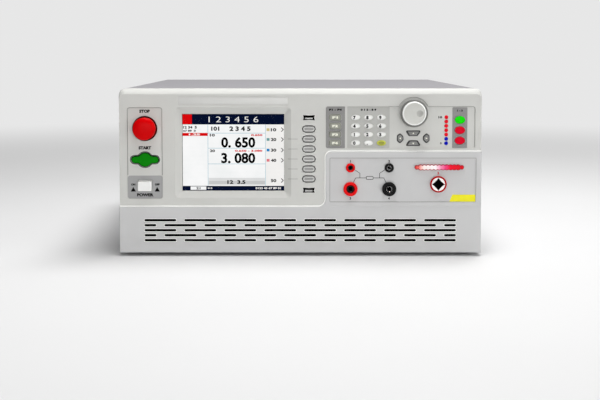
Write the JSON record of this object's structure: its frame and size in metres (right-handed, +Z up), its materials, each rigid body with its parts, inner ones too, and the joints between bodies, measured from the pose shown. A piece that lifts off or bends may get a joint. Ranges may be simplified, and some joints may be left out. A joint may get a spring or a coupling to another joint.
{
  "type": "electrical safety analyzer",
  "caption": "Bench electrical safety analyzer with a moulded front, screen, press keys, rotary knob, test sockets, lamp strip, vents and a rear fan.",
  "frame": {"origin": "middle of the surface that the instrument stands on, under the centre of its overall box", "axes": "+Z up, +X to the right seen from the front, -Y out of the front panel"},
  "size_m": [0.43, 0.466, 0.199],
  "materials": {
    "moulding_grey": "fine textured warm grey moulding",
    "lower_moulding_grey": "fine textured grey moulding",
    "cover_paint": "grey powder coat",
    "galvanised_sheet": "zinc plated sheet",
    "stop_red": "glossy red",
    "start_green": "glossy green",
    "power_white": "white",
    "soft_key_grey": "grey silicone",
    "function_key_grey": "dark grey silicone",
    "digit_key_white": "white silicone",
    "enter_key_yellow": "yellow green silicone",
    "arrow_key_grey": "dark grey silicone",
    "knob_grey": "satin light grey",
    "key_green": "lit green",
    "key_red": "lit red",
    "lamp_red": "red and blue lenses",
    "window_clear": "clear screen window",
    "module_black": "black display housing",
    "board_green": "green solder mask",
    "port_black": "black",
    "terminal_red": "glossy red",
    "terminal_black": "glossy black",
    "strip_lens": "red and white lens",
    "fan_black": "black",
    "rubber_black": "black rubber",
    "core_steel": "varnished laminated core"
  },
  "bodies": {
    "case": {"front_moulding_upper": "moulding_grey", "front_moulding_lower": "lower_moulding_grey", "top_cover": "cover_paint", "chassis_tray": "galvanised_sheet", "rear_panel": "cover_paint", "fan_frame": "fan_black", "fan_guard": "fan_black", "display_module": "module_black", "display_window": "window_clear", "front_board": "board_green", "main_board": "board_green", "hv_transformer": "core_steel", "usb_port_upper": "port_black", "usb_port_lower": "port_black", "sense_terminal_red": "terminal_red", "sense_terminal_black": "terminal_black", "drive_terminal_red": "terminal_red", "drive_terminal_black": "terminal_black", "hv_socket": "terminal_red", "warning_lamp_strip": "strip_lens", "lamp_column": "lamp_red", "mains_inlet": "port_black", "foot_front_left": "rubber_black", "foot_front_right": "rubber_black", "foot_rear_left": "rubber_black", "foot_rear_right": "rubber_black"},
    "stop_button": {"stop_button": "stop_red"},
    "start_button": {"start_button": "start_green"},
    "power_button": {"power_button": "power_white"},
    "soft_key_1": {"soft_key_1": "soft_key_grey"},
    "soft_key_2": {"soft_key_2": "soft_key_grey"},
    "soft_key_3": {"soft_key_3": "soft_key_grey"},
    "soft_key_4": {"soft_key_4": "soft_key_grey"},
    "soft_key_5": {"soft_key_5": "soft_key_grey"},
    "soft_key_6": {"soft_key_6": "soft_key_grey"},
    "function_key_1": {"function_key_1": "function_key_grey"},
    "function_key_2": {"function_key_2": "function_key_grey"},
    "function_key_3": {"function_key_3": "function_key_grey"},
    "function_key_4": {"function_key_4": "function_key_grey"},
    "data_key_1": {"data_key_1": "digit_key_white"},
    "data_key_2": {"data_key_2": "digit_key_white"},
    "data_key_3": {"data_key_3": "digit_key_white"},
    "data_key_4": {"data_key_4": "digit_key_white"},
    "data_key_5": {"data_key_5": "digit_key_white"},
    "data_key_6": {"data_key_6": "digit_key_white"},
    "data_key_7": {"data_key_7": "digit_key_white"},
    "data_key_8": {"data_key_8": "digit_key_white"},
    "data_key_9": {"data_key_9": "digit_key_white"},
    "data_key_10": {"data_key_10": "digit_key_white"},
    "data_key_11": {"data_key_11": "digit_key_white"},
    "enter_key": {"enter_key": "enter_key_yellow"},
    "arrow_key_up": {"arrow_key_up": "arrow_key_grey"},
    "arrow_key_down": {"arrow_key_down": "arrow_key_grey"},
    "arrow_key_left": {"arrow_key_left": "arrow_key_grey"},
    "arrow_key_right": {"arrow_key_right": "arrow_key_grey"},
    "result_key_1": {"result_key_1": "key_green"},
    "result_key_2": {"result_key_2": "key_red"},
    "result_key_3": {"result_key_3": "key_red"},
    "rotary_knob": {"rotary_knob": "knob_grey"},
    "fan_rotor": {"fan_rotor": "fan_black"}
  },
  "joints": [
    {"name": "stop_button_press", "type": "slide", "parent": "case", "child": "stop_button", "axis": [0, 1, 0], "range_m": [0, 0.003], "stiffness_N_per_m": 900},
    {"name": "start_button_press", "type": "slide", "parent": "case", "child": "start_button", "axis": [0, 1, 0], "range_m": [0, 0.002], "stiffness_N_per_m": 900},
    {"name": "power_button_press", "type": "slide", "parent": "case", "child": "power_button", "axis": [0, 1, 0], "range_m": [0, 0.003], "stiffness_N_per_m": 900},
    {"name": "soft_key_1_press", "type": "slide", "parent": "case", "child": "soft_key_1", "axis": [0, 1, 0], "range_m": [0, 0.001], "stiffness_N_per_m": 800},
    {"name": "soft_key_2_press", "type": "slide", "parent": "case", "child": "soft_key_2", "axis": [0, 1, 0], "range_m": [0, 0.001], "stiffness_N_per_m": 800},
    {"name": "soft_key_3_press", "type": "slide", "parent": "case", "child": "soft_key_3", "axis": [0, 1, 0], "range_m": [0, 0.001], "stiffness_N_per_m": 800},
    {"name": "soft_key_4_press", "type": "slide", "parent": "case", "child": "soft_key_4", "axis": [0, 1, 0], "range_m": [0, 0.001], "stiffness_N_per_m": 800},
    {"name": "soft_key_5_press", "type": "slide", "parent": "case", "child": "soft_key_5", "axis": [0, 1, 0], "range_m": [0, 0.001], "stiffness_N_per_m": 800},
    {"name": "soft_key_6_press", "type": "slide", "parent": "case", "child": "soft_key_6", "axis": [0, 1, 0], "range_m": [0, 0.001], "stiffness_N_per_m": 800},
    {"name": "function_key_1_press", "type": "slide", "parent": "case", "child": "function_key_1", "axis": [0, 1, 0], "range_m": [0, 0.001], "stiffness_N_per_m": 800},
    {"name": "function_key_2_press", "type": "slide", "parent": "case", "child": "function_key_2", "axis": [0, 1, 0], "range_m": [0, 0.001], "stiffness_N_per_m": 800},
    {"name": "function_key_3_press", "type": "slide", "parent": "case", "child": "function_key_3", "axis": [0, 1, 0], "range_m": [0, 0.001], "stiffness_N_per_m": 800},
    {"name": "function_key_4_press", "type": "slide", "parent": "case", "child": "function_key_4", "axis": [0, 1, 0], "range_m": [0, 0.001], "stiffness_N_per_m": 800},
    {"name": "data_key_1_press", "type": "slide", "parent": "case", "child": "data_key_1", "axis": [0, 1, 0], "range_m": [0, 0.001], "stiffness_N_per_m": 800},
    {"name": "data_key_2_press", "type": "slide", "parent": "case", "child": "data_key_2", "axis": [0, 1, 0], "range_m": [0, 0.001], "stiffness_N_per_m": 800},
    {"name": "data_key_3_press", "type": "slide", "parent": "case", "child": "data_key_3", "axis": [0, 1, 0], "range_m": [0, 0.001], "stiffness_N_per_m": 800},
    {"name": "data_key_4_press", "type": "slide", "parent": "case", "child": "data_key_4", "axis": [0, 1, 0], "range_m": [0, 0.001], "stiffness_N_per_m": 800},
    {"name": "data_key_5_press", "type": "slide", "parent": "case", "child": "data_key_5", "axis": [0, 1, 0], "range_m": [0, 0.001], "stiffness_N_per_m": 800},
    {"name": "data_key_6_press", "type": "slide", "parent": "case", "child": "data_key_6", "axis": [0, 1, 0], "range_m": [0, 0.001], "stiffness_N_per_m": 800},
    {"name": "data_key_7_press", "type": "slide", "parent": "case", "child": "data_key_7", "axis": [0, 1, 0], "range_m": [0, 0.001], "stiffness_N_per_m": 800},
    {"name": "data_key_8_press", "type": "slide", "parent": "case", "child": "data_key_8", "axis": [0, 1, 0], "range_m": [0, 0.001], "stiffness_N_per_m": 800},
    {"name": "data_key_9_press", "type": "slide", "parent": "case", "child": "data_key_9", "axis": [0, 1, 0], "range_m": [0, 0.001], "stiffness_N_per_m": 800},
    {"name": "data_key_10_press", "type": "slide", "parent": "case", "child": "data_key_10", "axis": [0, 1, 0], "range_m": [0, 0.001], "stiffness_N_per_m": 800},
    {"name": "data_key_11_press", "type": "slide", "parent": "case", "child": "data_key_11", "axis": [0, 1, 0], "range_m": [0, 0.001], "stiffness_N_per_m": 800},
    {"name": "enter_key_press", "type": "slide", "parent": "case", "child": "enter_key", "axis": [0, 1, 0], "range_m": [0, 0.001], "stiffness_N_per_m": 800},
    {"name": "arrow_key_up_press", "type": "slide", "parent": "case", "child": "arrow_key_up", "axis": [0, 1, 0], "range_m": [0, 0.001], "stiffness_N_per_m": 800},
    {"name": "arrow_key_down_press", "type": "slide", "parent": "case", "child": "arrow_key_down", "axis": [0, 1, 0], "range_m": [0, 0.001], "stiffness_N_per_m": 800},
    {"name": "arrow_key_left_press", "type": "slide", "parent": "case", "child": "arrow_key_left", "axis": [0, 1, 0], "range_m": [0, 0.001], "stiffness_N_per_m": 800},
    {"name": "arrow_key_right_press", "type": "slide", "parent": "case", "child": "arrow_key_right", "axis": [0, 1, 0], "range_m": [0, 0.001], "stiffness_N_per_m": 800},
    {"name": "result_key_1_press", "type": "slide", "parent": "case", "child": "result_key_1", "axis": [0, 1, 0], "range_m": [0, 0.001], "stiffness_N_per_m": 800},
    {"name": "result_key_2_press", "type": "slide", "parent": "case", "child": "result_key_2", "axis": [0, 1, 0], "range_m": [0, 0.001], "stiffness_N_per_m": 800},
    {"name": "result_key_3_press", "type": "slide", "parent": "case", "child": "result_key_3", "axis": [0, 1, 0], "range_m": [0, 0.001], "stiffness_N_per_m": 800},
    {"name": "rotary_knob_turn", "type": "hinge", "parent": "case", "child": "rotary_knob", "pos_m": [0.1338, -0.222, 0.1704], "axis": [0, 1, 0], "continuous": true},
    {"name": "fan_rotor_spin", "type": "hinge", "parent": "case", "child": "fan_rotor", "pos_m": [-0.095, 0.208, 0.109], "axis": [0, 1, 0], "continuous": true}
  ]
}
